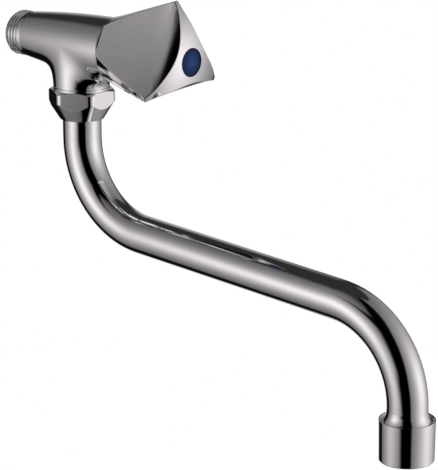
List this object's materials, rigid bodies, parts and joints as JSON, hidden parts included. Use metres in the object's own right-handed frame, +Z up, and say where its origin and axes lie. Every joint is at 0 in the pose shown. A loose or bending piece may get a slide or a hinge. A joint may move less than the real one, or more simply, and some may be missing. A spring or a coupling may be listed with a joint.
{
  "type": "wall-mounted tap",
  "caption": "Chrome wall-mounted cold water tap: tee-shaped body with a threaded inlet, a triangular screw-down handle with a blue index disc, and an S-shaped swivelling spout with an aerator.",
  "frame": {"origin": "on the inlet axis, at the shoulder where the inlet thread meets the body, which is the wall's face", "axes": "+Y into the wall along the inlet thread, -Y out towards the user, +Z up, +X to the user's right"},
  "size_m": [0.0473, 0.2432, 0.1837],
  "materials": {
    "chrome": "polished",
    "brass": "machined",
    "rubber": "matt",
    "nylon": "matt",
    "grey_plastic": "satin",
    "fibre": "matt",
    "steel": "satin",
    "blue_plastic": "gloss"
  },
  "bodies": {
    "tap": {"tap_body": "chrome", "bonnet": "brass", "bonnet_gasket": "fibre", "union_nut": "chrome"},
    "handle": {"handle_shell": "chrome", "spline_insert": "nylon", "handle_screw": "steel", "index_disc": "blue_plastic", "spindle": "brass", "thrust_washer": "nylon", "spindle_clip": "steel", "inner_spindle_seal": "rubber", "outer_spindle_seal": "rubber"},
    "valve": {"valve_plunger": "brass", "valve_washer": "rubber", "washer_screw": "brass"},
    "spout": {"spout_tube": "chrome", "spout_tail": "brass", "slip_washer": "nylon", "upper_spout_seal": "rubber", "lower_spout_seal": "rubber", "aerator_housing": "chrome", "aerator_sleeve": "grey_plastic", "aerator_grid": "grey_plastic", "jet_plate": "grey_plastic", "strainer": "grey_plastic", "outlet_washer": "rubber"}
  },
  "joints": [
    {"name": "handle_turn", "type": "hinge", "parent": "tap", "child": "handle", "pos_m": [0, -0.0523, 0], "axis": [0, -1, 0], "range_deg": [0, 810]},
    {"name": "valve_lift", "type": "slide", "parent": "tap", "child": "valve", "axis": [0, -1, 0], "range_m": [0, 0.0045]},
    {"name": "spout_swivel", "type": "hinge", "parent": "tap", "child": "spout", "pos_m": [0, -0.0295, -0.03], "axis": [0, 0, 1], "continuous": true}
  ],
  "couplings": [
    {"joint": "valve_lift", "follows": "handle_turn", "m_per_rad": 0.0003183}
  ]
}
